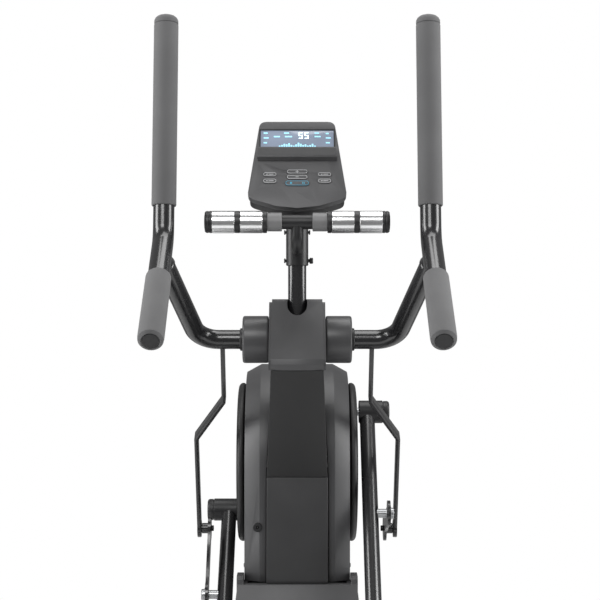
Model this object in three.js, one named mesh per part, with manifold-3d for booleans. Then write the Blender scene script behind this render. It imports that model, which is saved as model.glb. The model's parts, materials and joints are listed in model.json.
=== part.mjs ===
// Front-drive elliptical trainer: floor frame, covered tower, crank drive, two striding legs,
// two swinging handles, pulse bar and console. Millimetres, +Z up, +Y towards the front of the machine.
import * as THREE from 'three';
import { mergeVertices } from 'three/addons/utils/BufferGeometryUtils.js';
import Module from 'manifold-3d';

const wasm = await Module();
wasm.setup();

// ---- driving dimensions -------------------------------------------------------------------------
const gap = 0.3;                       // clearance between touching pieces
const beltGap = 1;                     // clearance between the belt and the faceted pulleys
const boreGap = 0.8;                   // clearance between a faceted bore and its tube
const hub = { y: 30, z: 1030 };        // handle pivot
const crank = { y: 280, z: 761, radius: 118.5, discRadius: 169 };
const flywheel = { y: 360, z: 330, radius: 125, pulley: 25 };
const halfLength = 590;                // floor length / 2
const railSlope = THREE.MathUtils.degToRad(35);
const legLength = 880;                 // crank pin to roller axle
const linkOnLeg = 247;                 // crank pin to link pivot, along the leg
const rollerRadius = 32;
const legX = 148;                      // leg tube plane
const legTube = 16;
const armTube = 19;
const gripTube = 20;
const gripX = 252;                     // handle grip plane
const foamRadius = 23.5;
const driveBar = { thickness: 8, depth: 30, innerX: 148.4, outerX: 206.5, length: 450 };
const linkPivot = { y: hub.y + 197, z: hub.z - 404.5 };
const shroudHalf = 107;                // half width of the tower covers
const spineHalf = 62;                  // half width of the centre strip
const shoulderZ = 541;                 // top of the base cover
const consoleTilt = THREE.MathUtils.degToRad(25);
const consoleCentre = new THREE.Vector3(0, -30, 1372);

// resting positions of each leg: crank pin and roller axle in the Y-Z plane
const stance = {
  right: { side: 1, pin: [235.96, 871.01], axle: [-310.18, 180.98] },
  left: { side: -1, pin: [324.74, 651.27], axle: [-383.83, 129.42] },
};

// ---- finishes -----------------------------------------------------------------------------------
const finish = (color, roughness, metalness) =>
  new THREE.MeshStandardMaterial({ color, roughness, metalness, flatShading: true });
const gloss = () => finish(0x141416, 0.28, 0.55);
const satin = () => finish(0x1d1d1f, 0.5, 0.1);
const shell = () => finish(0x56575a, 0.48, 0.1);
const darkShell = () => finish(0x2a2b2d, 0.5, 0.1);
const foam = () => finish(0x5d5d5f, 0.9, 0);
const steel = () => finish(0xc9cacc, 0.25, 0.95);
const rubber = () => finish(0x161616, 0.85, 0);

// ---- solids -------------------------------------------------------------------------------------
const model = new THREE.Group();

/** A manifold solid from a closed geometry, moved by a matrix. */
function solid(geometry, matrix = new THREE.Matrix4()) {
  const moved = geometry.clone().applyMatrix4(matrix);
  moved.deleteAttribute('normal');
  moved.deleteAttribute('uv');
  const merged = mergeVertices(moved, 1e-3);
  const triVerts = new Uint32Array(merged.index.array);
  const vertProperties = new Float32Array(merged.attributes.position.array);
  const body = new wasm.Manifold(new wasm.Mesh({ numProp: 3, vertProperties, triVerts }));
  if (body.volume() > 0) return body;
  // a mirrored placement or a reversed profile turns the faces inwards: wind them the other way
  return new wasm.Manifold(new wasm.Mesh({ numProp: 3, vertProperties, triVerts: triVerts.slice().reverse() }));
}

/** A mesh geometry from a manifold solid. */
function geometryOf(body) {
  const { vertProperties, triVerts } = body.getMesh();
  const geometry = new THREE.BufferGeometry();
  geometry.setAttribute('position', new THREE.BufferAttribute(vertProperties, 3));
  geometry.setIndex(new THREE.BufferAttribute(triVerts, 1));
  geometry.computeVertexNormals();
  return geometry;
}

const join = (...bodies) => bodies.reduce((sum, body) => sum.add(body));
const cut = (body, ...tools) => tools.reduce((rest, tool) => rest.subtract(tool), body);

/** Adds a named piece to the model. */
function piece(name, body, material, parent = model) {
  const mesh = new THREE.Mesh(geometryOf(body), material);
  mesh.name = name;
  parent.add(mesh);
}

function box(x0, x1, y0, y1, z0, z1) {
  const move = new THREE.Matrix4().makeTranslation((x0 + x1) / 2, (y0 + y1) / 2, (z0 + z1) / 2);
  return solid(new THREE.BoxGeometry(Math.abs(x1 - x0), Math.abs(y1 - y0), Math.abs(z1 - z0)), move);
}

/** A matrix that turns local x, y, z to the given axes and moves to an origin. */
function frame(xAxis, yAxis, zAxis, origin) {
  return new THREE.Matrix4().makeBasis(xAxis, yAxis, zAxis).setPosition(origin);
}

const axisX = new THREE.Vector3(1, 0, 0);
const axisY = new THREE.Vector3(0, 1, 0);
const axisZ = new THREE.Vector3(0, 0, 1);

/** A plate with its outline in the Y-Z plane, from x0 to x1. */
function plateX(shape, x0, x1, sides = 12) {
  const geometry = new THREE.ExtrudeGeometry(shape, {
    depth: Math.abs(x1 - x0), bevelEnabled: false, curveSegments: sides });
  return solid(geometry, frame(axisY, axisZ, axisX, new THREE.Vector3(Math.min(x0, x1), 0, 0)));
}

function outline(points) {
  return new THREE.Shape(points.map(([a, b]) => new THREE.Vector2(a, b)));
}

/** A body of revolution about X: profile points are [radius, x], mirrored for the left side. */
function turnedX(profile, y, z, side = 1, sides = 24) {
  const points = profile.map(([radius, x]) => new THREE.Vector2(radius, x));
  const along = new THREE.Vector3(side, 0, 0);
  const across = new THREE.Vector3().crossVectors(along, axisZ);
  const place = frame(across, along, axisZ, new THREE.Vector3(0, y, z));
  return solid(new THREE.LatheGeometry(points, sides), place);
}

function rodX(radius, x0, x1, y, z, sides = 16) {
  const [from, to] = [Math.min(x0, x1), Math.max(x0, x1)];
  return turnedX([[0, from], [radius, from], [radius, to], [0, to]], y, z, 1, sides);
}

/** A body of revolution whose axis runs from a point along a direction. */
function turnedAlong(profile, origin, direction, sides = 16) {
  const points = profile.map(([radius, along]) => new THREE.Vector2(radius, along));
  const turn = new THREE.Quaternion().setFromUnitVectors(axisY, direction.clone().normalize());
  const place = new THREE.Matrix4().compose(origin, turn, new THREE.Vector3(1, 1, 1));
  return solid(new THREE.LatheGeometry(points, sides), place);
}

/** A path of straight runs joined by arcs of one bend radius. */
class BentPath extends THREE.Curve {
  constructor(points, bend, arcSteps = 5) {
    super();
    this.samples = [points[0]];
    for (let i = 1; i < points.length - 1; i += 1) {
      const back = points[i - 1].clone().sub(points[i]).normalize();
      const ahead = points[i + 1].clone().sub(points[i]).normalize();
      const half = back.angleTo(ahead) / 2;
      const reach = bend / Math.tan(half);
      const middle = back.clone().add(ahead).normalize();
      const centre = points[i].clone().addScaledVector(middle, bend / Math.sin(half));
      const first = points[i].clone().addScaledVector(back, reach).sub(centre);
      const last = points[i].clone().addScaledVector(ahead, reach).sub(centre);
      const sweep = first.angleTo(last);
      for (let k = 0; k <= arcSteps; k += 1) {
        const t = k / arcSteps;
        const point = first.clone().multiplyScalar(Math.sin((1 - t) * sweep) / Math.sin(sweep));
        point.addScaledVector(last, Math.sin(t * sweep) / Math.sin(sweep));
        this.samples.push(point.add(centre));
      }
    }
    this.samples.push(points[points.length - 1]);
  }

  getPoint(t, target = new THREE.Vector3()) {
    const place = Math.min(Math.max(t, 0), 1) * (this.samples.length - 1);
    const index = Math.min(Math.floor(place), this.samples.length - 2);
    return target.lerpVectors(this.samples[index], this.samples[index + 1], place - index);
  }

  getUtoTmapping(u) {
    return u;
  }
}

/** A round tube along straight runs and bends. */
function pipe(points, bend, radius, sides = 14) {
  const path = new BentPath(points, bend);
  const section = new THREE.Shape().absarc(0, 0, radius, 0, 2 * Math.PI);
  return solid(new THREE.ExtrudeGeometry(section, {
    steps: path.samples.length - 1, extrudePath: path, curveSegments: sides / 2 }));
}

const point = (x, y, z) => new THREE.Vector3(x, y, z);

const consoleFace = new THREE.Matrix4().makeRotationX(Math.PI / 2 - consoleTilt).setPosition(consoleCentre);
const consoleDepth = 46;

/** A slab in the console's own frame: across X, up the face, and out of it. */
function consoleSlab(shape, back, depth, x = 0, v = 0) {
  const place = new THREE.Matrix4().makeTranslation(x, v, back);
  return solid(new THREE.ExtrudeGeometry(shape, { depth, bevelEnabled: false, curveSegments: 4 }),
    new THREE.Matrix4().multiplyMatrices(consoleFace, place));
}

// ---- floor frame --------------------------------------------------------------------------------
const beam = { half: 30, bottom: 35, top: 85, rear: -530, front: 472 };
const stabilizer = { depth: 60, bottom: 16, top: 64 };
const rail = { x: 112, half: 15, thickness: 26 };
const slopeY = Math.cos(railSlope);
const slopeZ = Math.sin(railSlope);
const axleLine = { y: -353, z: 151 };  // a point that the roller axles pass through
const railTopAt = (y) => axleLine.z - rollerRadius / slopeY + (y - axleLine.y) * Math.tan(railSlope);
const railBottomAt = (y) => railTopAt(y) - rail.thickness / slopeY;
const railEnds = { rear: -528, knee: -450, front: -165 };

function floorFrame() {
  const support = { rear: -205, front: -165, bottom: 150, top: 178 };
  const saddle = outline([
    [support.rear, support.top - 1],
    [support.front, support.top - 1],
    [support.front, railBottomAt(support.front) - gap],
    [support.rear, railBottomAt(support.rear) - gap],
  ]);
  const cheek = { inner: 46, outer: 52, half: 22 };
  const cheeks = [1, -1].map((side) => cut(
    box(side * cheek.inner, side * cheek.outer, flywheel.y - cheek.half, flywheel.y + cheek.half,
      beam.top - 10, flywheel.z + cheek.half),
    rodX(10 + gap, -60, 60, flywheel.y, flywheel.z)));
  const body = join(
    box(-beam.half, beam.half, beam.rear + gap, beam.front - gap, beam.bottom, beam.top),
    box(-rail.x - rail.half, rail.x + rail.half, support.rear, support.front, support.bottom, support.top),
    box(-beam.half, beam.half, support.rear, support.front, beam.top - 1, support.bottom + 1),
    plateX(saddle, rail.x - rail.half, rail.x + rail.half),
    plateX(saddle, -rail.x - rail.half, -rail.x + rail.half),
    box(-cheek.outer, cheek.outer, flywheel.y - cheek.half, flywheel.y + cheek.half, beam.top - 10, beam.top + 6),
    ...cheeks);
  piece('base_beam', body, gloss());
}

function roundedBar(halfWidth, y0, y1, z0, z1, corner) {
  const shape = new THREE.Shape();
  shape.moveTo(y0 + corner, z0);
  shape.lineTo(y1 - corner, z0);
  shape.absarc(y1 - corner, z0 + corner, corner, -Math.PI / 2, 0);
  shape.lineTo(y1, z1 - corner);
  shape.absarc(y1 - corner, z1 - corner, corner, 0, Math.PI / 2);
  shape.lineTo(y0 + corner, z1);
  shape.absarc(y0 + corner, z1 - corner, corner, Math.PI / 2, Math.PI);
  shape.lineTo(y0, z0 + corner);
  shape.absarc(y0 + corner, z0 + corner, corner, Math.PI, 1.5 * Math.PI);
  return plateX(shape, -halfWidth, halfWidth, 4);
}

function stabilizers() {
  const wheel = { radius: 28, x0: 150, x1: 172, y: halfLength - 28, z: 30 };
  const rearY = -halfLength;
  piece('rear_stabilizer', roundedBar(240, rearY, rearY + stabilizer.depth, stabilizer.bottom, stabilizer.top, 16),
    gloss());
  const forks = [1, -1].flatMap((side) => [[139, 145], [177, 183]].map(([a, b]) => {
    const plate = plateX(outline([[520, 22], [572, 20], [572, 40], [520, 56]]), side * a, side * b);
    return plate;
  }));
  const pins = [1, -1].map((side) => rodX(5, side * 142, side * 180, wheel.y, wheel.z, 12));
  piece('front_stabilizer', join(
    roundedBar(250, beam.front, beam.front + 55, stabilizer.bottom, stabilizer.top, 16), ...forks, ...pins), gloss());
  for (const [name, side] of [['left', -1], ['right', 1]]) {
    const tyre = [[5 + gap, wheel.x0], [wheel.radius - 3, wheel.x0], [wheel.radius, wheel.x0 + 3],
      [wheel.radius, wheel.x1 - 3], [wheel.radius - 3, wheel.x1], [5 + gap, wheel.x1], [5 + gap, wheel.x0]];
    piece(`transport_wheel_${name}`, turnedX(tyre, wheel.y, wheel.z, side, 20), rubber());
    const caps = [['rear', 240, rearY, rearY + stabilizer.depth], ['front', 250, beam.front, beam.front + 55]];
    for (const [end, reach, y0, y1] of caps) {
      const sideWall = side > 0 ? [reach + gap, reach + 26] : [-reach - 26, -reach - gap];
      const foot = side > 0 ? [reach - 34, reach + 22] : [-reach - 22, -reach + 34];
      const cap = join(
        box(...sideWall, y0 + 2, y1 - 2, stabilizer.bottom - gap - 2, stabilizer.top + 1),
        box(...foot, y0 + 8, y1 - 8, 0, stabilizer.bottom - gap));
      piece(`${end}_end_cap_${name}`, cap, rubber());
    }
  }
}

function rails() {
  const shape = outline([
    [railEnds.rear, railTopAt(railEnds.knee)],
    [railEnds.rear, railTopAt(railEnds.knee) - rail.thickness],
    [railEnds.knee + 8, railTopAt(railEnds.knee) - rail.thickness],
    [railEnds.front, railBottomAt(railEnds.front)],
    [railEnds.front, railTopAt(railEnds.front)],
    [railEnds.knee, railTopAt(railEnds.knee)],
  ]);
  piece('left_rail', plateX(shape, -rail.x - rail.half, -rail.x + rail.half), steel());
  piece('right_rail', plateX(shape, rail.x - rail.half, rail.x + rail.half), steel());
}

// ---- tower --------------------------------------------------------------------------------------
function towerFrame() {
  const post = outline([[110, beam.top + gap], [160, beam.top + gap], [108, shoulderZ], [106, 780],
    [56, 1000], [56, 1065], [8, 1065], [8, 1000], [58, 780], [66, shoulderZ]]);
  const body = join(
    plateX(post, -25, 25),
    box(-40, 10, 80, crank.y, crank.z - 20, crank.z + 20),
    rodX(28, -40, 10, crank.y, crank.z),
    rodX(24, -45, 45, hub.y, hub.z));
  piece('tower_frame', cut(body,
    rodX(12.5 + gap, -60, 60, crank.y, crank.z),
    rodX(12 + gap, -60, 60, hub.y, hub.z)), satin());
}

/** The drum-shaped side outline, shrunk inward by a wall. */
function drumOutline(wall) {
  const radius = 210 - wall;
  const shape = new THREE.Shape();
  shape.moveTo(crank.y - radius, shoulderZ + gap - (wall ? 1 : 0));
  shape.lineTo(crank.y - radius, crank.z);
  shape.absarc(crank.y, crank.z, radius, Math.PI, 0, true);
  shape.lineTo(crank.y + radius, shoulderZ + gap - (wall ? 1 : 0));
  return shape;
}

/** Everything inside the bevelled edge of one side cover, shrunk inward by a wall. */
function drumEnvelope(side, wall) {
  const bevel = { inner: 76, drop: 17 };
  const radius = 210 - wall;
  const reach = shroudHalf - wall;
  const drum = turnedX([[0, -2], [radius, -2], [radius, bevel.inner], [radius - bevel.drop, reach], [0, reach]],
    crank.y, crank.z, side, 72);
  const near = crank.y - radius;
  const plan = new THREE.ExtrudeGeometry(outline([[-2 * side, near], [bevel.inner * side, near],
    [reach * side, near + bevel.drop], [reach * side, crank.y + radius], [-2 * side, crank.y + radius]]),
  { depth: crank.z - shoulderZ + 4, bevelEnabled: false });
  return drum.add(solid(plan, new THREE.Matrix4().makeTranslation(0, 0, shoulderZ - 4)));
}

function sideShrouds() {
  const inlet = { x: -80, z: 651, radius: 8 };
  const seam = gap / 2;
  for (const [name, side] of [['left', -1], ['right', 1]]) {
    const outer = plateX(drumOutline(0), side * seam, side * shroudHalf, 18).intersect(drumEnvelope(side, 0));
    const inner = plateX(drumOutline(3), side * (seam - 1), side * (shroudHalf - 3), 18)
      .intersect(drumEnvelope(side, 3));
    const strip = spineTaper(-1.5).intersect(box(-80, 80, 60, 116, 500, 1000));
    let body = cut(outer, inner, strip, rodX(16, side * 90, side * 115, crank.y, crank.z));
    if (side < 0) {
      body = cut(body, turnedAlong([[0, -9], [inlet.radius, -9], [inlet.radius, 24], [0, 24]],
        point(inlet.x, crank.y - 210, inlet.z), axisY));
    }
    piece(`${name}_shroud`, body, shell());
  }
  const bore = 3.2;
  const profile = [[0, 8], [0, 12], [inlet.radius - gap, 12], [inlet.radius - gap, 0], [inlet.radius + 1.5, -0.4],
    [inlet.radius + 1.5, -2.5], [bore, -2.5], [bore, 8], [0, 8]];
  piece('power_inlet', turnedAlong(profile, point(inlet.x, crank.y - 210, inlet.z), axisY, 12), satin());
}

/** The centre strip seen from behind widens downward: half widths at three heights. */
function spineTaper(inset) {
  const shape = new THREE.Shape();
  const half = [[spineHalf - inset, 500], [61 - inset, 754], [51 - inset, 973], [49.5 - inset, 1130]];
  shape.moveTo(half[0][0], half[0][1]);
  half.slice(1).forEach(([x, z]) => shape.lineTo(x, z));
  half.reverse().forEach(([x, z]) => shape.lineTo(-x, z));
  const depth = 260;
  const geometry = new THREE.ExtrudeGeometry(shape, { depth, bevelEnabled: false });
  return solid(geometry, frame(axisX, axisZ, point(0, -1, 0), point(0, 150, 0)));
}

function spineCovers() {
  const wall = 3;
  const top = 1110;
  const nose = [-80, 973];
  const front = 112;
  const neckOuter = outline([[nose[0] + 4, nose[1] + gap], [nose[0], nose[1] + 12], [nose[0] + 2, nose[1] + 22],
    [4, top - 4], [12, top], [front - 8, top], [front, top - 8], [front, nose[1] + gap]]);
  const neckInner = outline([[nose[0] + 4 + wall, nose[1] - 1], [nose[0] + wall, nose[1] + 13],
    [nose[0] + 3 + wall, nose[1] + 21], [6 + wall, top - 4 - wall], [front - wall, top - wall],
    [front - wall, nose[1] - 1]]);
  const crease = 7;
  const neckBlock = plateX(neckOuter, -90, 90);
  const creased = neckBlock.rotate([0, 0, crease]).intersect(neckBlock.rotate([0, 0, -crease]));
  const notch = { half: 19.6, z: 1098 };
  const mastNotch = join(
    box(-notch.half, notch.half, -40, 40, notch.z, 1130),
    turnedAlong([[0, -40], [notch.half, -40], [notch.half, 40], [0, 40]], point(0, 0, notch.z), axisY));
  const sidePlate = outline([[nose[0] + 12, nose[1] + gap], [nose[0] + 10, nose[1] + 20], [12, top - 10],
    [20, top - 6], [front - 8, top - 6], [front - 4, nose[1] + gap]]);
  const neck = cut(
    join(creased.intersect(spineTaper(0)), plateX(sidePlate, -55.4, 55.4)),
    plateX(neckInner, -70, 70).intersect(neckBlock.rotate([0, 0, crease]).translate([0, wall, -wall]))
      .intersect(neckBlock.rotate([0, 0, -crease]).translate([0, wall, -wall])).intersect(spineTaper(wall)),
    mastNotch,
    rodX(16, -80, 80, hub.y, hub.z));
  piece('neck_cover', neck, shell());

  const heel = [50, 754];
  const panelOuter = outline([[nose[0] + 6, nose[1]], [heel[0] - 6, heel[1] + 14], heel, [front, heel[1]],
    [front, nose[1]]]);
  const panelInner = outline([[nose[0] + 6 + 1.2 * wall, nose[1] + 1], [heel[0] - 6 + 1.2 * wall, heel[1] + 14],
    [heel[0] + wall, heel[1] - 1], [front + 1, heel[1] - 1], [front + 1, 870], [front - wall, 870],
    [front - wall, nose[1] + 1]]);
  piece('rear_panel', cut(
    plateX(panelOuter, -70, 70).intersect(spineTaper(0)),
    plateX(panelInner, -70, 70).intersect(spineTaper(wall))), darkShell());

  const lowerOuter = outline([[heel[0], shoulderZ + gap], [front, shoulderZ + gap], [front, heel[1] - gap],
    [heel[0], heel[1] - gap]]);
  const lowerInner = outline([[heel[0] + wall, shoulderZ - 1], [front + 1, shoulderZ - 1], [front + 1, heel[1] + 1],
    [heel[0] + wall, heel[1] + 1]]);
  piece('lower_rear_panel', cut(
    plateX(lowerOuter, -70, 70).intersect(spineTaper(0)),
    plateX(lowerInner, -70, 70).intersect(spineTaper(wall))), darkShell());
}

function baseCover() {
  const section = (inset) => outline([[40 + inset, shoulderZ - inset], [-60 + inset, 330], [-118 + inset, 160],
    [-118 + inset, beam.top + gap - (inset ? 1 : 0)], [515 - inset, beam.top + gap - (inset ? 1 : 0)],
    [515 - inset, 300], [505 - inset, shoulderZ - inset]]);
  const widths = (inset) => {
    const geometry = new THREE.ExtrudeGeometry(outline([[-124 + inset, 60], [124 - inset, 60], [124 - inset, 500],
      [119 - inset, shoulderZ + 2 - inset], [-119 + inset, shoulderZ + 2 - inset], [-124 + inset, 500]]),
    { depth: 700, bevelEnabled: false });
    return solid(geometry, frame(axisX, axisZ, point(0, -1, 0), point(0, 550, 0)));
  };
  const ear = outline([[44, 500], [96, 500], [96, shoulderZ + 10], [90, shoulderZ + 16], [50, shoulderZ + 16],
    [44, shoulderZ + 10]]);
  const shoulder = { front: 96, z: 450 };
  const shoulders = [1, -1].map((side) =>
    box(side * (shroudHalf + 0.5), side * 140, shoulder.front, 700, shoulder.z, 700));
  const block = (inset) => cut(plateX(section(inset), -130, 130).intersect(widths(inset)),
    ...(inset ? shoulders.map((tool) => tool.translate([0, -inset, -inset])).map((tool, index) =>
      tool.translate([index ? inset : -inset, 0, 0])) : shoulders));
  piece('base_cover', cut(
    join(block(0), plateX(ear, shroudHalf + 0.5, 121), plateX(ear, -121, -shroudHalf - 0.5)),
    block(4),
    box(-100, 100, 62, 484, shoulderZ - 20, shoulderZ + 20)), shell());
}

function masts() {
  const oval = (halfX, halfY, z0, z1) => {
    const shape = new THREE.Shape().absellipse(0, 0, halfX, halfY, 0, 2 * Math.PI);
    const geometry = new THREE.ExtrudeGeometry(shape, { depth: z1 - z0, bevelEnabled: false, curveSegments: 10 });
    return solid(geometry, new THREE.Matrix4().makeTranslation(0, 20, z0));
  };
  piece('lower_mast', oval(18, 15, 1065 + gap, 1240), gloss());
  const neckTube = cut(pipe([point(0, 20, 1250), point(0, 20, 1300), point(0, 6, 1380)], 40, 15),
    consoleSlab(outline([[-60, -150], [60, -150], [60, 60], [-60, 60]]), -consoleDepth - gap, 100));
  piece('upper_mast', join(
    cut(oval(22, 19, 1176, 1262), oval(18 + gap, 15 + gap, 1170, 1242)), neckTube), satin());
}

// ---- crank drive --------------------------------------------------------------------------------
function drive() {
  piece('crank_axle', rodX(12.5, -108.2, 108.2, crank.y, crank.z), steel());
  for (const [name, side] of [['left', -1], ['right', 1]]) {
    const rim = crank.discRadius;
    const profile = [[0, 108.5], [rim - 14, 108.5], [rim - 4, 110], [rim, 113], [rim, 118], [rim - 4, 123],
      [rim - 10, 125], [rim - 17, 124], [rim - 21, 121], [62, 121], [56, 125], [0, 126]];
    piece(`${name}_crank_disc`, turnedX(profile, crank.y, crank.z, side, 36), darkShell());
  }
  piece('drive_pulley', turnedX([[12.5 + gap, 20], [120, 20], [120, 38], [110, 38], [110, 28], [30, 28], [30, 38],
    [12.5 + gap, 38], [12.5 + gap, 20]], crank.y, crank.z, 1, 28), satin());
  const beltRadius = (extra) => [120 + beltGap + extra, flywheel.pulley + beltGap + extra];
  const beltShape = (extra) => {
    const [big, small] = beltRadius(extra);
    const dy = flywheel.y - crank.y;
    const dz = flywheel.z - crank.z;
    const span = Math.hypot(dy, dz);
    const lean = Math.atan2(dz, dy);
    const wrap = Math.acos((big - small) / span);
    const shape = new THREE.Shape();
    shape.absarc(crank.y, crank.z, big, lean + wrap, lean - wrap + 2 * Math.PI, false);
    shape.absarc(flywheel.y, flywheel.z, small, lean - wrap, lean + wrap, false);
    return shape;
  };
  piece('drive_belt', cut(plateX(beltShape(2), 22, 36, 12), plateX(beltShape(0), 21, 37, 12)), rubber());
  const wheel = turnedX([[0, -45], [10, -45], [10, -22], [flywheel.radius, -22], [flywheel.radius, 10], [20, 10],
    [20, 20], [flywheel.pulley, 20], [flywheel.pulley, 38], [10, 38], [10, 45], [0, 45]],
  flywheel.y, flywheel.z, 1, 24);
  piece('flywheel', wheel, steel());
}

// ---- handles ------------------------------------------------------------------------------------
function foamGrip(length, nose) {
  return [[gripTube + boreGap, 0], [foamRadius, 0], [foamRadius, length], [foamRadius - 1.5, length + 0.45 * nose],
    [foamRadius - 6, length + 0.85 * nose], [foamRadius - 13, length + nose], [0, length + nose],
    [0, length - 1], [gripTube + boreGap, length - 1], [gripTube + boreGap, 0]];
}

function handle(name, side) {
  const at = (x, dy, dz) => point(side * x, hub.y + dy, hub.z + dz);
  const corner = at(gripX, -152, 195);
  const top = at(gripX, -90, 610);
  const low = at(gripX, -397, 13);
  const arm = pipe([at(57, 0, 0), at(195, 0, 0), at(gripX, -200, 157)], 50, armTube);
  const grip = pipe([low, corner, top], 60, gripTube);
  const down = new THREE.Vector3(0, linkPivot.y - hub.y, linkPivot.z - hub.z).normalize();
  const outward = new THREE.Vector3(side, 0, 0);
  const { innerX, outerX, thickness, depth, length } = driveBar;
  const t = thickness / 2;
  const barShape = outline([[innerX - t, -5], [innerX + t, -5], [innerX + t, 134], [outerX + t, 222],
    [outerX + t, length + 6], [outerX - t, length + 6], [outerX - t, 226], [innerX - t, 138]]);
  const barGeometry = new THREE.ExtrudeGeometry(barShape, { depth, bevelEnabled: false });
  const across = new THREE.Vector3().crossVectors(outward, down);
  const barOrigin = point(0, hub.y, hub.z).addScaledVector(across, -depth / 2);
  const bar = solid(barGeometry, frame(outward, down, across, barOrigin));
  const eye = rodX(19, side * (outerX - t), side * (outerX + t), linkPivot.y, linkPivot.z);
  const bush = rodX(11, side * 188.3, side * (outerX - 1), linkPivot.y, linkPivot.z);
  piece(`${name}_handle`, cut(join(arm, grip, bar, eye, bush),
    rodX(12 + gap, side * 50, side * 130, hub.y, hub.z)), gloss());

  const lean = top.clone().sub(corner).normalize();
  const upperStart = at(gripX, -152 + 61 * 62 / 415, 256);
  piece(`${name}_upper_grip`, turnedAlong(foamGrip(356 / lean.z, 15), upperStart, lean), foam());
  const back = low.clone().sub(corner).normalize();
  const lowerStart = low.clone().addScaledVector(back, -178);
  piece(`${name}_lower_grip`, turnedAlong(foamGrip(179, 10), lowerStart, back), foam());
  piece(`${name}_hub_cover`, turnedX([[armTube + gap, 56], [44, 56], [46.75, 59], [46.75, 105], [44.5, 108],
    [armTube + gap, 108], [armTube + gap, 56]], hub.y, hub.z, side, 24), shell());
}

// ---- legs, pedals, rollers and links ------------------------------------------------------------
function leg(name, { side, pin, axle }) {
  const [pinY, pinZ] = pin;
  const [axleY, axleZ] = axle;
  const up = { y: (pinY - axleY) / legLength, z: (pinZ - axleZ) / legLength };
  const ahead = { y: up.z, z: -up.y };
  const spot = (x, along, off) => point(side * x,
    axleY + along * up.y + off * ahead.y, axleZ + along * up.z + off * ahead.z);
  const elbow = spot(legX, 180, 150);
  const rear = spot(legX, 0, 0);
  const tube = pipe([spot(legX, legLength, 0), spot(legX, 400, 0), elbow, rear], 55, legTube);
  const run = elbow.clone().sub(rear).normalize();
  const rise = new THREE.Vector3(0, -run.z, run.y);
  const outward = new THREE.Vector3(side, 0, 0);
  const place = frame(outward, run, rise, rear.clone().setX(0));
  // outward position, place along the foot run and height above it
  const slab = (x0, x1, a0, a1, h0, h1) => {
    const move = new THREE.Matrix4().makeTranslation((x0 + x1) / 2, (a0 + a1) / 2, (h0 + h1) / 2);
    return solid(new THREE.BoxGeometry(x1 - x0, a1 - a0, h1 - h0),
      new THREE.Matrix4().multiplyMatrices(place, move));
  };
  const link = [pinY - linkOnLeg * up.y, pinZ - linkOnLeg * up.z];
  const body = cut(join(
    tube,
    rodX(24, side * 130, side * 181, pinY, pinZ, 24),
    turnedX([[0, 180], [23, 180], [23, 191], [20, 195], [0, 195]], pinY, pinZ, side),
    rodX(9, side * 150, side * 181.7, ...link),
    rodX(19, side * 133, side * 163, axleY, axleZ),
    slab(140, 156, 20, 180, 8, 40 - gap)),
  rodX(8 + gap, side * 100, side * 180, axleY, axleZ));
  piece(`${name}_leg`, body, gloss());

  const tread = { inner: 132, outer: 260, wall: 6 };
  const tray = join(
    slab(tread.inner, tread.outer, -85, 210, 40, 50),
    slab(tread.inner, tread.inner + tread.wall, -85, 210, 49, 70),
    slab(tread.outer - tread.wall, tread.outer, -85, 210, 49, 70),
    slab(tread.inner, tread.outer, 203, 210, 49, 78));
  piece(`${name}_pedal`, tray, rubber());
  piece(`${name}_roller_axle`, rodX(8, side * 92, side * 168, axleY, axleZ), steel());
  const tyre = [[8 + gap, 96.5], [rollerRadius - 4, 96.5], [rollerRadius - gap, 100], [rollerRadius - gap, 124],
    [rollerRadius - 4, 127.5], [8 + gap, 127.5], [8 + gap, 96.5]];
  piece(`${name}_roller`, turnedX(tyre, axleY, axleZ, side, 22), rubber());

  const sweep = Math.atan2(link[1] - linkPivot.z, link[0] - linkPivot.y);
  const length = Math.hypot(link[1] - linkPivot.z, link[0] - linkPivot.y);
  const turn = new THREE.Matrix4().makeRotationX(sweep).setPosition(0, linkPivot.y, linkPivot.z);
  const shape = outline([[0, -17], [length, -17], [length, 17], [0, 17]]);
  const bar = new THREE.ExtrudeGeometry(shape, { depth: 6, bevelEnabled: false });
  const flat = frame(axisY, axisZ, axisX, point(side > 0 ? 182 : -188, 0, 0));
  piece(`${name}_link`, join(
    solid(bar, turn.multiply(flat)),
    rodX(26, side * 182, side * 188, linkPivot.y, linkPivot.z, 24),
    rodX(26, side * 182, side * 188, ...link, 24),
    rodX(11, side * 187, side * 196, ...link)), satin());
}

// ---- pulse bar and console ----------------------------------------------------------------------
function pulseBar() {
  const [y, z] = [-80, 1257.5];
  piece('pulse_bar', join(
    rodX(14, -160, 160, y, z),
    pipe([point(0, y, z), point(0, y, z - 46), point(0, -0.5, z - 50)], 24, 11.5)), satin());
  for (const [name, side] of [['left', -1], ['right', 1]]) {
    piece(`pulse_grip_${name}`, turnedX([[14 + gap, 29.3], [18, 29.3], [18, 57.9], [21.4, 58.5], [21.4, 163.3],
      [20, 165], [21, 171], [19, 176], [12, 177.4], [0, 177.4], [0, 161], [14 + gap, 161], [14 + gap, 29.3]],
    y, z, side, 16), steel());
  }
}

/** Console outline across X and up the face, shrunk inward by an inset. */
function consoleOutline(inset) {
  const top = 97 - inset;
  const shape = new THREE.Shape();
  shape.moveTo(-60 + inset, top);
  shape.lineTo(60 - inset, top);
  shape.quadraticCurveTo(73 - inset, top, 75 - inset, top - 12);
  shape.lineTo(95 - inset, -62);
  shape.quadraticCurveTo(95 - inset, -74 + inset, 82 - inset, -78 + inset);
  shape.quadraticCurveTo(0, -114 + 2 * inset, -82 + inset, -78 + inset);
  shape.quadraticCurveTo(-95 + inset, -74 + inset, -95 + inset, -62);
  shape.lineTo(-75 + inset, top - 12);
  shape.quadraticCurveTo(-73 + inset, top, -60 + inset, top);
  return shape;
}

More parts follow.
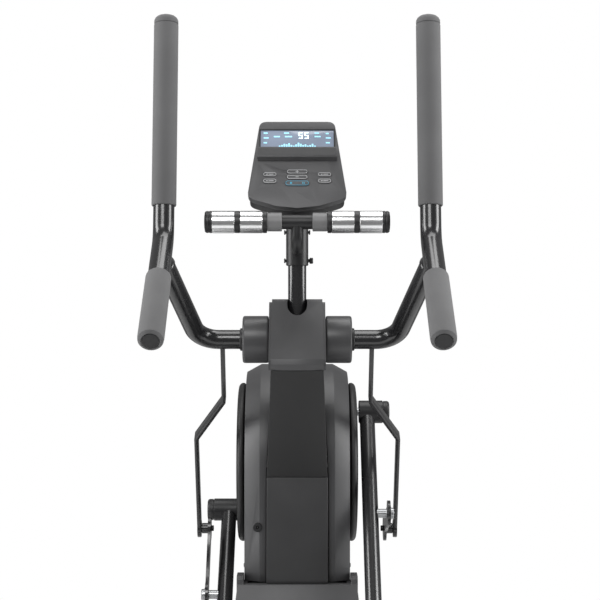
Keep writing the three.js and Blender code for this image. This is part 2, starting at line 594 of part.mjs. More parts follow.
function pill(halfWidth, halfHeight) {
  const run = halfWidth - halfHeight;
  const shape = new THREE.Shape();
  shape.absarc(run, 0, halfHeight, -Math.PI / 2, Math.PI / 2);
  shape.absarc(-run, 0, halfHeight, Math.PI / 2, 1.5 * Math.PI);
  return shape;
}

function consoleHead() {
  const slab = consoleSlab;
  const plate = (x0, x1, v0, v1, n0, n1) => slab(outline([[x0, v0], [x1, v0], [x1, v1], [x0, v1]]), n0, n1 - n0);
  const buttons = [
    ['upper_left_button', -53, -22.5, 13, 4.5], ['lower_left_button', -53, -37, 13, 4.5],
    ['upper_right_button', 53, -22.5, 13, 4.5], ['lower_right_button', 53, -37, 13, 4.5],
    ['plus_button', 0, -16.5, 20, 4.5], ['minus_button', 0, -28.5, 20, 4.5], ['start_button', 0, -42, 23, 5.5],
  ];
  const holes = buttons.map(([, x, v, w, h]) => slab(pill(w + gap, h + gap), -10, 20, x, v));
  const wall = 4;
  const front = cut(join(
    slab(consoleOutline(0), -16, 16),
    plate(-77, 77, 8, 30, -1, 17)),
  slab(consoleOutline(wall), -17, 17 - wall),
  plate(-72, 72, 36, 78, -10, 5),
  ...holes);
  piece('console_front', front, shell());
  const rear = cut(slab(consoleOutline(3), -consoleDepth, 30 - gap), slab(consoleOutline(7), 4 - consoleDepth, 30));
  piece('console_rear_shell', rear, darkShell());
  piece('display', plate(-72 + gap, 72 - gap, 36 + gap, 78 - gap, -3.5, -1), finish(0xa0a8b4, 0.2, 0));
  for (const [name, x, v, w, h] of buttons) {
    piece(name, slab(pill(w, h), -4, 5.5, x, v), rubber());
  }
}

floorFrame();
stabilizers();
rails();
towerFrame();
sideShrouds();
spineCovers();
baseCover();
masts();
piece('handle_axle', rodX(12, -129, 129, hub.y, hub.z), steel());
drive();
for (const [name, rest] of Object.entries(stance)) {
  handle(name, rest.side);
  leg(name, rest);
}
pulseBar();
consoleHead();

export default model;
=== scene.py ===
"""Elliptical trainer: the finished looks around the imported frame. Metres, +Z up, +Y to the front."""
import json
import logging
import math
from dataclasses import dataclass, field
from enum import Enum
from typing import Optional, Sequence

import bmesh
import bpy
from mathutils import Matrix, Vector


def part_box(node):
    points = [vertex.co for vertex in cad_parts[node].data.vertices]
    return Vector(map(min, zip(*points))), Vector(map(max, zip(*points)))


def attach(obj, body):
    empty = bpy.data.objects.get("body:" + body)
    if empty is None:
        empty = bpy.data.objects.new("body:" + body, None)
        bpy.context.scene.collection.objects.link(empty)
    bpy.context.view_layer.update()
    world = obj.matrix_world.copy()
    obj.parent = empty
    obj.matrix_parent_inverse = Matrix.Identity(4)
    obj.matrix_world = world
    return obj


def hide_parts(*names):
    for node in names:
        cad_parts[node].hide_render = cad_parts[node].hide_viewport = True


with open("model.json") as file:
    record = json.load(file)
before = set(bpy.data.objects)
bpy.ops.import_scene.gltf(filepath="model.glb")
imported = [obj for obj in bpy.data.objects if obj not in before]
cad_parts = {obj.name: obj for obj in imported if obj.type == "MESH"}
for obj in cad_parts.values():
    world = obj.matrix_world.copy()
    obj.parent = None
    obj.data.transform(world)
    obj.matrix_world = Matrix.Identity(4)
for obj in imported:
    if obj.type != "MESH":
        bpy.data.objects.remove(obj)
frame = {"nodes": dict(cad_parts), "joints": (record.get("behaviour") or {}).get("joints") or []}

LOG = logging.getLogger("elliptical_trainer")
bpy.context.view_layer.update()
TURN = 2 * math.pi
AXIS_X = Vector((1, 0, 0))
AXIS_Y = Vector((0, 1, 0))
AXIS_Z = Vector((0, 0, 1))


class Side(Enum):
    """Left or right of a user who faces the console."""

    LEFT = -1
    RIGHT = 1

    @property
    def word(self) -> str:
        """The side's name as it stands in node and body names."""
        return self.name.lower()


def joint_point(name: str) -> Vector:
    """A point on a hinge's axis.

    Args:
        name: the joint's name in the record.

    Returns:
        The point in the shared frame, in metres.
    """
    for joint in frame["joints"]:
        if joint["name"] == name:
            return Vector(joint["pos_m"])
    raise KeyError(name)


# ---- shader node groups ----------------------------------------------------------------------------


class NodeGroup:
    """A shader node group that several finishes share."""

    def __init__(self, name: str, inputs: dict[str, float], outputs: Sequence[str]) -> None:
        """Make the group's sockets.

        Args:
            name: the group's name.
            inputs: number inputs and their usual values.
            outputs: names of number outputs.
        """
        self.tree = bpy.data.node_groups.new(name, "ShaderNodeTree")
        for label, value in inputs.items():
            socket = self.tree.interface.new_socket(label, in_out="INPUT", socket_type="NodeSocketFloat")
            socket.default_value = value
        for label in outputs:
            self.tree.interface.new_socket(label, in_out="OUTPUT", socket_type="NodeSocketFloat")
        self.entry = self.tree.nodes.new("NodeGroupInput")
        self.exit = self.tree.nodes.new("NodeGroupOutput")

    def node(self, kind: str, **values: object) -> bpy.types.Node:
        """Add a node and set its properties."""
        made = self.tree.nodes.new(kind)
        for key, value in values.items():
            setattr(made, key, value)
        return made

    def link(self, start: bpy.types.NodeSocket, end: bpy.types.NodeSocket) -> None:
        """Join two sockets."""
        self.tree.links.new(start, end)

    def noise(self, scale: Optional[bpy.types.NodeSocket], detail: float,
              fixed: float = 1.0) -> bpy.types.Node:
        """A noise texture in object space.

        Args:
            scale: socket that drives the scale, if any.
            detail: octaves of noise.
            fixed: the scale when no socket drives it.

        Returns:
            The noise node.
        """
        place = self.node("ShaderNodeTexCoord")
        texture = self.node("ShaderNodeTexNoise")
        texture.inputs["Detail"].default_value = detail
        texture.inputs["Scale"].default_value = fixed
        self.link(place.outputs["Object"], texture.inputs["Vector"])
        if scale is not None:
            self.link(scale, texture.inputs["Scale"])
        return texture


def moulded_grain() -> bpy.types.NodeTree:
    """Fine spark-eroded grain for a bump, with a slow waviness under it."""
    group = NodeGroup("moulded_grain", {"Scale": 900.0, "Waviness": 0.3}, ["Height"])
    fine = group.noise(group.entry.outputs["Scale"], 2.0)
    slow = group.noise(None, 1.0, 14.0)
    wave = group.node("ShaderNodeMath", operation="MULTIPLY")
    total = group.node("ShaderNodeMath", operation="ADD")
    group.link(slow.outputs["Fac"], wave.inputs[0])
    group.link(group.entry.outputs["Waviness"], wave.inputs[1])
    group.link(fine.outputs["Fac"], total.inputs[0])
    group.link(wave.outputs[0], total.inputs[1])
    group.link(total.outputs[0], group.exit.inputs["Height"])
    return group.tree


def handled_dust() -> bpy.types.NodeTree:
    """A light dust that settles on faces that look up, and thumb smears everywhere."""
    group = NodeGroup("handled_dust", {"Amount": 0.2, "Smears": 0.3}, ["Mask", "Rough"])
    surface = group.node("ShaderNodeNewGeometry")
    split = group.node("ShaderNodeSeparateXYZ")
    up = group.node("ShaderNodeMapRange")
    up.inputs["From Min"].default_value = 0.35
    up.inputs["From Max"].default_value = 1.0
    cloud = group.noise(None, 5.0, 38.0)
    patch = group.node("ShaderNodeMath", operation="MULTIPLY")
    mask = group.node("ShaderNodeMath", operation="MULTIPLY")
    smear = group.noise(None, 3.0, 9.0)
    rough = group.node("ShaderNodeMath", operation="MULTIPLY")
    group.link(surface.outputs["Normal"], split.inputs[0])
    group.link(split.outputs["Z"], up.inputs["Value"])
    group.link(up.outputs["Result"], patch.inputs[0])
    group.link(cloud.outputs["Fac"], patch.inputs[1])
    group.link(patch.outputs[0], mask.inputs[0])
    group.link(group.entry.outputs["Amount"], mask.inputs[1])
    group.link(smear.outputs["Fac"], rough.inputs[0])
    group.link(group.entry.outputs["Smears"], rough.inputs[1])
    group.link(mask.outputs[0], group.exit.inputs["Mask"])
    group.link(rough.outputs[0], group.exit.inputs["Rough"])
    return group.tree


def edge_wear() -> bpy.types.NodeTree:
    """A mask that is light on raised edges, broken up by noise."""
    group = NodeGroup("edge_wear", {"Amount": 0.3}, ["Mask"])
    surface = group.node("ShaderNodeNewGeometry")
    sharp = group.node("ShaderNodeMapRange")
    sharp.inputs["From Min"].default_value = 0.52
    sharp.inputs["From Max"].default_value = 0.62
    chips = group.noise(None, 4.0, 160.0)
    broken = group.node("ShaderNodeMath", operation="MULTIPLY")
    mask = group.node("ShaderNodeMath", operation="MULTIPLY")
    group.link(surface.outputs["Pointiness"], sharp.inputs["Value"])
    group.link(sharp.outputs["Result"], broken.inputs[0])
    group.link(chips.outputs["Fac"], broken.inputs[1])
    group.link(broken.outputs[0], mask.inputs[0])
    group.link(group.entry.outputs["Amount"], mask.inputs[1])
    group.link(mask.outputs[0], group.exit.inputs["Mask"])
    return group.tree


GRAIN = moulded_grain()
DUST = handled_dust()
WEAR = edge_wear()


# ---- finishes --------------------------------------------------------------------------------------


@dataclass(frozen=True)
class Finish:
    """A surface finish: its colour, gloss, grain and handling marks."""

    name: str
    slot: str
    colour: tuple[float, float, float]
    roughness: float
    metallic: float = 0.0
    grain_scale: float = 900.0
    grain_depth: float = 0.00006
    waviness: float = 0.3
    dust: float = 0.05
    smears: float = 0.12
    wear: float = 0.12
    spread: float = 0.12
    coat: float = 0.0
    coat_roughness: float = 0.1
    sheen: float = 0.0
    glow: float = 0.0

    def shade(self, factor: float) -> tuple[float, float, float, float]:
        """The finish's colour, lighter or darker by a factor."""
        return tuple(min(1.0, value * factor) for value in self.colour) + (1.0,)

    def material(self) -> bpy.types.Material:
        """Build the finish's material, or give back the one already built.

        Returns:
            The procedural material.
        """
        ready = bpy.data.materials.get(self.name)
        if ready is not None:
            return ready
        material = bpy.data.materials.new(self.name)
        material.use_nodes = True
        nodes = material.node_tree.nodes
        link = material.node_tree.links.new
        shader = nodes["Principled BSDF"]
        shader.inputs["Metallic"].default_value = self.metallic
        shader.inputs["Coat Weight"].default_value = self.coat
        shader.inputs["Coat Roughness"].default_value = self.coat_roughness
        shader.inputs["Sheen Weight"].default_value = self.sheen
        place = nodes.new("ShaderNodeTexCoord")
        cloud = nodes.new("ShaderNodeTexNoise")
        cloud.inputs["Scale"].default_value = 11.0
        cloud.inputs["Detail"].default_value = 6.0
        ramp = nodes.new("ShaderNodeValToRGB")
        ramp.color_ramp.elements[0].position = 0.3
        ramp.color_ramp.elements[1].position = 0.7
        ramp.color_ramp.elements[0].color = self.shade(1.0 - self.spread)
        ramp.color_ramp.elements[1].color = self.shade(1.0 + self.spread)
        dust = nodes.new("ShaderNodeGroup")
        dust.node_tree = DUST
        dust.inputs["Amount"].default_value = self.dust
        dust.inputs["Smears"].default_value = self.smears
        wear = nodes.new("ShaderNodeGroup")
        wear.node_tree = WEAR
        wear.inputs["Amount"].default_value = self.wear
        dusty = nodes.new("ShaderNodeMix")
        dusty.data_type = "RGBA"
        dusty.inputs["B"].default_value = (0.33, 0.32, 0.3, 1.0)
        worn = nodes.new("ShaderNodeMix")
        worn.data_type = "RGBA"
        worn.inputs["B"].default_value = self.shade(2.6)
        rough = nodes.new("ShaderNodeMath")
        rough.operation = "ADD"
        rough.inputs[1].default_value = self.roughness - self.smears * 0.5
        grain = nodes.new("ShaderNodeGroup")
        grain.node_tree = GRAIN
        grain.inputs["Scale"].default_value = self.grain_scale
        grain.inputs["Waviness"].default_value = self.waviness
        bump = nodes.new("ShaderNodeBump")
        bump.inputs["Strength"].default_value = 0.6
        bump.inputs["Distance"].default_value = self.grain_depth
        link(place.outputs["Object"], cloud.inputs["Vector"])
        link(cloud.outputs["Fac"], ramp.inputs["Fac"])
        link(ramp.outputs["Color"], worn.inputs["A"])
        link(wear.outputs["Mask"], worn.inputs["Factor"])
        link(worn.outputs["Result"], dusty.inputs["A"])
        link(dust.outputs["Mask"], dusty.inputs["Factor"])
        link(dusty.outputs["Result"], shader.inputs["Base Color"])
        link(dust.outputs["Rough"], rough.inputs[0])
        link(rough.outputs[0], shader.inputs["Roughness"])
        link(grain.outputs["Height"], bump.inputs["Height"])
        link(bump.outputs["Normal"], shader.inputs["Normal"])
        if self.glow:
            shader.inputs["Emission Strength"].default_value = self.glow
            link(ramp.outputs["Color"], shader.inputs["Emission Color"])
        return material


POWDER = Finish("black_powder_coat", "black_paint", (0.012, 0.012, 0.013), 0.27, 0.0, 700, 0.00005, coat=0.6,
                coat_roughness=0.12)
SATIN_BLACK = Finish("satin_black_plastic", "black_plastic", (0.014, 0.014, 0.015), 0.42)
GREY_SHELL = Finish("grey_moulded_plastic", "grey_plastic", (0.055, 0.055, 0.057), 0.44, grain_depth=0.00008)
HUB_GREY = Finish("hub_grey_plastic", "grey_plastic", (0.062, 0.062, 0.064), 0.36)
# A darker copy of the grey shell plastic. On the rear panel this darkness is painted shade for a face that
# looks down. The crank disc faces use it as their own dark plastic.
DARK_DISC_AND_SHADED_PANEL = Finish("dark_moulded_plastic", "black_plastic", (0.013, 0.013, 0.0135), 0.5, grain_depth=0.00008)
# A darker copy of the grey shell plastic for the lower rear panel. The darkness is painted shade, a step
# lighter than the rear panel's.
SHADED_LOWER_SHELL = Finish("charcoal_moulded_plastic", "black_plastic", (0.026, 0.026, 0.027), 0.48)
FOAM = Finish("closed_cell_foam", "foam", (0.105, 0.105, 0.107), 0.88, grain_scale=1500, grain_depth=0.0003,
              spread=0.08, wear=0.0, dust=0.03, sheen=0.15)
FOAM_END = Finish("foam_end_cap", "foam", (0.03, 0.03, 0.031), 0.7, grain_depth=0.0001)
RUBBER = Finish("ribbed_rubber", "rubber", (0.02, 0.02, 0.021), 0.78, grain_depth=0.00015)
BRIGHT = Finish("bright_plated_steel", "bright_steel", (0.82, 0.825, 0.83), 0.24, 1.0, grain_depth=0.00001,
                smears=0.06, dust=0.0)
SILVER_BOLT = Finish("zinc_bolt", "bright_steel", (0.5, 0.51, 0.52), 0.34, 1.0, grain_depth=0.00003)
RAIL_STEEL = Finish("aluminium_rail", "bright_steel", (0.42, 0.43, 0.44), 0.38, 1.0, grain_depth=0.00003)
SLEEVE_GREY = Finish("sleeve_grey_plastic", "grey_plastic", (0.17, 0.17, 0.172), 0.45)
CONSOLE_GREY = Finish("console_grey_plastic", "grey_plastic", (0.085, 0.085, 0.088), 0.42)
PRINT = Finish("printed_white_line", "rubber", (0.62, 0.63, 0.64), 0.5, grain_depth=0.00001)
PRINT_BLUE = Finish("printed_blue_line", "rubber", (0.06, 0.36, 0.55), 0.5, grain_depth=0.00001)
SCREEN = Finish("display_glass", "display_window", (0.17, 0.2, 0.26), 0.16, grain_depth=0.000002, coat=1.0,
                coat_roughness=0.03, glow=0.75, dust=0.0, wear=0.0, smears=0.03)
DIGIT = Finish("display_digit", "display_window", (0.72, 0.93, 1.0), 0.3, grain_depth=0.000001, glow=1.5,
               dust=0.0, wear=0.0, smears=0.0)
DIGIT_DIM = Finish("display_scale_mark", "display_window", (0.3, 0.6, 0.72), 0.3, grain_depth=0.000001,
                   glow=0.9,
                   dust=0.0, wear=0.0, smears=0.0)


# ---- mesh making -----------------------------------------------------------------------------------


def finish_piece(obj: bpy.types.Object, finish: Finish, body: str, stands_for: Sequence[str] = (),
                 smooth: float = 32.0) -> bpy.types.Object:
    """Dress a piece, ride it on its body and log it.

    Args:
        obj: the piece.
        finish: its finish.
        body: the CAD body that it moves with.
        stands_for: CAD nodes that it hides.
        smooth: faces that meet at less than this angle, in degrees, shade as one.

    Returns:
        The same piece.
    """
    obj.data.materials.clear()
    obj.data.materials.append(finish.material())
    obj.data.shade_smooth()
    obj.data.set_sharp_from_angle(angle=math.radians(smooth))
    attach(obj, body)
    if stands_for:
        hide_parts(*stands_for)
    LOG.info("%s rides on %s", obj.name, body)
    return obj


def new_object(name: str, work: bmesh.types.BMesh) -> bpy.types.Object:
    """Turn a bmesh into an object, with its faces pointing out."""
    bmesh.ops.recalc_face_normals(work, faces=work.faces)
    mesh = bpy.data.meshes.new(name)
    work.to_mesh(mesh)
    work.free()
    obj = bpy.data.objects.new(name, mesh)
    bpy.context.scene.collection.objects.link(obj)
    return obj


def bevel(obj: bpy.types.Object, width: float, segments: int = 3, angle: float = 32.0) -> bpy.types.Object:
    """Round a piece's edges and fix the result in its mesh.

    Args:
        obj: the piece.
        width: bevel width in metres.
        segments: faces across each bevel.
        angle: only edges sharper than this, in degrees.

    Returns:
        The same piece.
    """
    modifier = obj.modifiers.new("rounding", "BEVEL")
    modifier.width = width
    modifier.segments = segments
    modifier.limit_method = "ANGLE"
    modifier.angle_limit = math.radians(angle)
    modifier.harden_normals = False
    with bpy.context.temp_override(object=obj, active_object=obj, selected_objects=[obj]):
        bpy.ops.object.modifier_apply(modifier="rounding")
    return obj


def turned(name: str, profile: Sequence[tuple[float, float]], origin: Vector, axis: Vector,
           sides: int = 64) -> bpy.types.Object:
    """A body of revolution.

    Args:
        name: the piece's name.
        profile: (radius, distance along the axis) points, in metres.
        origin: where distance 0 lies.
        axis: the axis direction.
        sides: faces around.

    Returns:
        The piece.
    """
    turn = AXIS_Z.rotation_difference(axis.normalized()).to_matrix().to_4x4()
    place = Matrix.Translation(origin) @ turn
    work = bmesh.new()
    rings = []
    for radius, along in profile:
        if radius < 1e-6:
            rings.append([work.verts.new(place @ Vector((0, 0, along)))])
            continue
        rings.append([work.verts.new(place @ Vector((radius * math.cos(TURN * k / sides),
                                                     radius * math.sin(TURN * k / sides), along)))
                      for k in range(sides)])
    closed = profile[0] == profile[-1]
    if closed:
        for vert in rings[-1]:
            work.verts.remove(vert)
        rings[-1] = rings[0]
    for low, high in zip(rings, rings[1:]):
        for k in range(sides):
            corners = [low[k % len(low)], low[(k + 1) % len(low)], high[(k + 1) % len(high)],
                       high[k % len(high)]]
            unique = list(dict.fromkeys(corners))
            if len(unique) > 2:
                work.faces.new(unique)
    return new_object(name, work)


def rounded_path(points: Sequence[Vector], radius: float, steps: int = 14) -> list[Vector]:
    """Straight runs joined by arcs.

    Args:
        points: the corners.
        radius: the bend radius.
        steps: pieces in each arc.

    Returns:
        The points along the path.
    """
    path = [points[0]]
    for before, corner, after in zip(points, points[1:], points[2:]):
        back = (before - corner).normalized()
        ahead = (after - corner).normalized()
        half = back.angle(ahead) / 2
        centre = corner + (back + ahead).normalized() * (radius / math.sin(half))
        first = corner + back * (radius / math.tan(half)) - centre
        last = corner + ahead * (radius / math.tan(half)) - centre
        sweep = first.angle(last)
        for k in range(steps + 1):
            t = k / steps
            path.append(centre + first * (math.sin((1 - t) * sweep) / math.sin(sweep))
                        + last * (math.sin(t * sweep) / math.sin(sweep)))
    return path + [points[-1]]


def tube(name: str, path: Sequence[Vector], radius: float, sides: int = 40,
         squash: float = 1.0) -> bpy.types.Object:
    """A round or oval tube along a path, with rounded end rims.

    Args:
        name: the piece's name.
        path: points along the middle.
        radius: outer radius across X, or across the path for a round tube.
        sides: faces around.
        squash: the other half width over the radius.

    Returns:
        The piece.
    """
    work = bmesh.new()
    normal = None
    rings = []
    rim = 0.0015
    last = len(path) - 1
    stations = [(0, -rim)] + [(i, 0.0) for i in range(last + 1)] + [(last, -rim)]
    for index, shrink in stations:
        ahead = (path[min(index + 1, last)] - path[max(index - 1, 0)]).normalized()
        if normal is None:
            normal = ahead.orthogonal().normalized() if abs(ahead.x) > 0.9 else \
                (AXIS_X - ahead * AXIS_X.dot(ahead)).normalized()
        normal = (normal - ahead * normal.dot(ahead)).normalized()
        across = ahead.cross(normal)
        centre = path[index]
        if not shrink and index in (0, last):
            centre = centre + ahead * (rim if index == 0 else -rim)
        reach = radius + shrink
        rings.append([work.verts.new(centre + normal * (reach * math.cos(TURN * k / sides))
                                     + across * (squash * reach * math.sin(TURN * k / sides)))
                      for k in range(sides)])
    for low, high in zip(rings, rings[1:]):
        for k in range(sides):
            work.faces.new((low[k], low[(k + 1) % sides], high[(k + 1) % sides], high[k]))
    work.faces.new(rings[0])
    work.faces.new(rings[-1])
    return new_object(name, work)


def plate(name: str, outline: Sequence[tuple[float, float]], depth: float, place: Matrix,
          rounding: float = 0.0, segments: int = 3) -> bpy.types.Object:
    """A flat plate with a given outline.

    Args:
        name: the piece's name.
        outline: corners in the plate's own x and y.
        depth: thickness along its own z.
        place: the plate's own frame.
        rounding: bevel of every edge.
        segments: faces across each bevel.

    Returns:
        The piece.
    """
    work = bmesh.new()
    low = [work.verts.new(place @ Vector((a, b, 0))) for a, b in outline]
    high = [work.verts.new(place @ Vector((a, b, depth))) for a, b in outline]
    work.faces.new(low)
    work.faces.new(high)
    count = len(outline)
    for k in range(count):
        work.faces.new((low[k], low[(k + 1) % count], high[(k + 1) % count], high[k]))
    made = new_object(name, work)
    return bevel(made, rounding, segments) if rounding else made


def basis(x_axis: Vector, y_axis: Vector, z_axis: Vector, origin: Vector) -> Matrix:
    """A frame from its axes and origin."""
    turn = Matrix((x_axis, y_axis, z_axis)).transposed().to_4x4()
    return Matrix.Translation(origin) @ turn


def refined(node: str, name: str, width: float, segments: int = 3) -> bpy.types.Object:
    """A finer copy of a CAD node: flat faces merged whole and edges rounded.

    Args:
        node: the CAD node to copy.
        name: the piece's name.
        width: bevel width.
        segments: faces across each bevel.

    Returns:
        The piece.
    """
    work = bmesh.new()
    work.from_mesh(frame["nodes"][node].data)
    bmesh.ops.remove_doubles(work, verts=work.verts, dist=2e-6)
    bmesh.ops.dissolve_limit(work, angle_limit=math.radians(0.6), verts=work.verts, edges=work.edges)
    made = new_object(name, work)
    return bevel(made, width, segments, 24.0) if width else made


def stadium(half_width: float, half_height: float, steps: int = 10) -> list[tuple[float, float]]:
    """A pill outline."""
    run = half_width - half_height
    points = []
    for centre, start in ((run, -math.pi / 2), (-run, math.pi / 2)):
        for k in range(steps + 1):
            angle = start + math.pi * k / steps
            points.append((centre + half_height * math.cos(angle), half_height * math.sin(angle)))
    return points


def hexagon(radius: float) -> list[tuple[float, float]]:
    """A hexagon outline."""
    return [(radius * math.cos(TURN * k / 6), radius * math.sin(TURN * k / 6)) for k in range(6)]


# ---- sub-assemblies --------------------------------------------------------------------------------


@dataclass
class Handle:
    """One swinging handle: bent tubes, foam grips, hub cover and drive bar."""

    side: Side
    arm_radius: float = 0.019
    grip_radius: float = 0.020
    foam_radius: float = 0.0235
    grip_x: float = 0.252
    bar_depth: float = 0.030
    bar_half: float = 0.004
    bar_inner: float = 0.1484
    bar_outer: float = 0.2065
    jog_start: float = 0.134
    jog_end: float = 0.222
    jog_shift: float = 0.004
    bolt_x: float = 0.1765
    bolt_radius: float = 0.0065
    hub: Vector = field(default_factory=lambda: joint_point("left_handle_swing"))
    link: Vector = field(default_factory=lambda: joint_point("left_link_swing"))

    def at(self, x: float, dy: float, dz: float) -> Vector:
        """A point given from the hub, outwards on this side."""
        return Vector((self.side.value * x, self.hub.y + dy, self.hub.z + dz))

    def build(self) -> None:
        """Make every piece of the handle."""
        word = self.side.word
        body = f"{word}_handle"
        corner = self.at(self.grip_x, -0.152, 0.195)
        top = self.at(self.grip_x, -0.090, 0.610)
        low = self.at(self.grip_x, -0.397, 0.013)
        arm = rounded_path([self.at(0.057, 0, 0), self.at(0.195, 0, 0),
                            self.at(self.grip_x, -0.200, 0.157)], 0.050)
        finish_piece(tube(f"{word}_arm_tube", arm, self.arm_radius, 48), POWDER, body, [f"{word}_handle"])
        grip = rounded_path([low, corner, top], 0.060)
        finish_piece(tube(f"{word}_grip_tube", grip, self.grip_radius, 48), POWDER, body, [f"{word}_handle"])
        self.weld(arm[-1], (arm[-2] - arm[-1]).normalized(), body)
        self.foam(body, corner, top, low)
        self.cover(body)
        self.drive_bar(body)

    def weld(self, joint: Vector, away: Vector, body: str) -> None:
        """The weld bead where the arm meets the grip tube."""
        start = joint + away * 0.0205
        bead = [(self.arm_radius - 0.001, -0.004), (self.arm_radius + 0.0012, -0.001),
                (self.arm_radius + 0.0014, 0.0015), (self.arm_radius - 0.0005, 0.004),
                (self.arm_radius - 0.001, -0.004)]
        finish_piece(turned(f"{self.side.word}_weld_bead", bead, start, away, 48), POWDER, body)

    def foam(self, body: str, corner: Vector, top: Vector, low: Vector) -> None:
        """The long upper grip and the short lower grip, each with its end cap."""
        word = self.side.word
        radius = self.foam_radius
        bore = self.grip_radius + 0.0004
        lean = (top - corner).normalized()
        start = self.at(self.grip_x, -0.152 + 0.061 * 0.062 / 0.415, 0.256)
        length = 0.356 / lean.z
        seam = length - 0.004
        sleeve = [(bore, 0), (radius - 0.0015, 0), (radius - 0.0003, 0.001), (radius, 0.003),
                  (radius, seam - 0.002), (radius - 0.0006, seam), (bore, seam), (bore, 0)]
        finish_piece(turned(f"{word}_upper_foam", sleeve, start, lean, 72), FOAM, body,
                     [f"{word}_upper_grip"])
        dome = [(bore, seam + 0.0006), (radius - 0.0014, seam + 0.0006), (radius - 0.0002, seam + 0.002),
                (radius - 0.0004, length + 0.004), (radius - 0.0025, length + 0.0085),
                (radius - 0.0065, length + 0.012), (radius - 0.013, length + 0.0145), (0, length + 0.015),
                (0, seam + 0.0006)]
        finish_piece(turned(f"{word}_upper_foam_cap", dome, start, lean, 72), FOAM, body,
                     [f"{word}_upper_grip"])
        back = (low - corner).normalized()
        first = low - back * 0.178
        flat = 0.178 + 0.0098
        soft = [(bore, 0), (radius - 0.0015, 0), (radius - 0.0003, 0.001), (radius, 0.003),
                (radius, 0.176), (radius - 0.0008, 0.1835), (radius - 0.004, flat - 0.0012),
                (radius - 0.0062, flat), (radius - 0.0072, flat - 0.0016), (0, flat - 0.0022), (0, 0.179),
                (bore, 0.179), (bore, 0)]
        finish_piece(turned(f"{word}_lower_foam", soft, first, back, 72), FOAM, body, [f"{word}_lower_grip"])
        plug = [(0, flat - 0.0021), (radius - 0.0078, flat - 0.0021), (radius - 0.0085, flat - 0.0007),
                (0, flat - 0.0005)]
        finish_piece(turned(f"{word}_lower_end_plug", plug, first, back, 64), FOAM_END, body,
                     [f"{word}_lower_grip"])

    def cover(self, body: str) -> None:
        """The round hub cover and its collar on the arm."""
        word = self.side.word
        outward = AXIS_X * self.side.value
        centre = self.hub.copy()
        bore = self.arm_radius + 0.0006
        shell = [(bore, 0.0565), (0.0435, 0.0565), (0.0455, 0.0570), (0.0465, 0.0585), (0.04675, 0.0605),
                 (0.04675, 0.1030), (0.0463, 0.1055), (0.0450, 0.1070), (0.0430, 0.1078), (0.0270, 0.1078),
                 (0.0262, 0.1066), (bore, 0.1066), (bore, 0.0565)]
        finish_piece(turned(f"{word}_hub_shell", shell, centre, outward, 96), HUB_GREY, body,
                     [f"{word}_hub_cover"])
        collar = [(bore - 0.0003, 0.1072), (0.0225, 0.1072), (0.0225, 0.1120), (0.0212, 0.1133),
                  (bore - 0.0003, 0.1136), (bore - 0.0003, 0.1072)]
        finish_piece(turned(f"{word}_hub_collar", collar, centre, outward, 64), SATIN_BLACK, body)

    def drive_bar(self, body: str) -> None:
        """The flat bar that carries the handle's swing down to the link, with its eye, bush and bolt head."""
        word = self.side.word
        outward = AXIS_X * self.side.value
        down = self.link - self.hub
        down.x = 0
        length = down.length
        down.normalize()
        across = outward.cross(down)
        inner, outer, half = self.bar_inner, self.bar_outer, self.bar_half
        outline = [(inner - half, 0.012), (inner + half, 0.012), (inner + half, self.jog_start),
                   (outer + half, self.jog_end),
                   (outer + half, length), (outer - half, length),
                   (outer - half, self.jog_end + self.jog_shift),
                   (inner - half, self.jog_start + self.jog_shift)]
        place = basis(outward, down, across, self.hub - across * self.bar_depth / 2)
        bar = plate(f"{word}_drive_bar", outline, self.bar_depth, place, 0.0012, 2)
        finish_piece(bar, POWDER, body, [f"{word}_handle"])
        eye = [(0.011, outer - half), (0.0182, outer - half), (0.019, outer - half + 0.0008),
               (0.019, outer + half - 0.0008), (0.0182, outer + half), (0.011, outer + half),
               (0.011, outer - half)]
        finish_piece(turned(f"{word}_drive_bar_eye", eye, self.link, outward, 56), POWDER, body,
                     [f"{word}_handle"])
        bush = [(0, 0.1883), (0.0104, 0.1883), (0.011, 0.1889), (0.011, 0.2006), (0.0098, 0.2012),
                (0.0098, outer + half + 0.0004), (0, outer + half + 0.0004)]
        finish_piece(turned(f"{word}_drive_bush", bush, self.link, outward, 48), POWDER, body,
                     [f"{word}_handle"])
        flat = basis(AXIS_Y * self.side.value, AXIS_Z, outward, self.link + outward * self.bolt_x)
        nut = plate(f"{word}_drive_nut", hexagon(self.bolt_radius), 0.0055, flat, 0.0008, 2)
        finish_piece(nut, SATIN_BLACK, body)


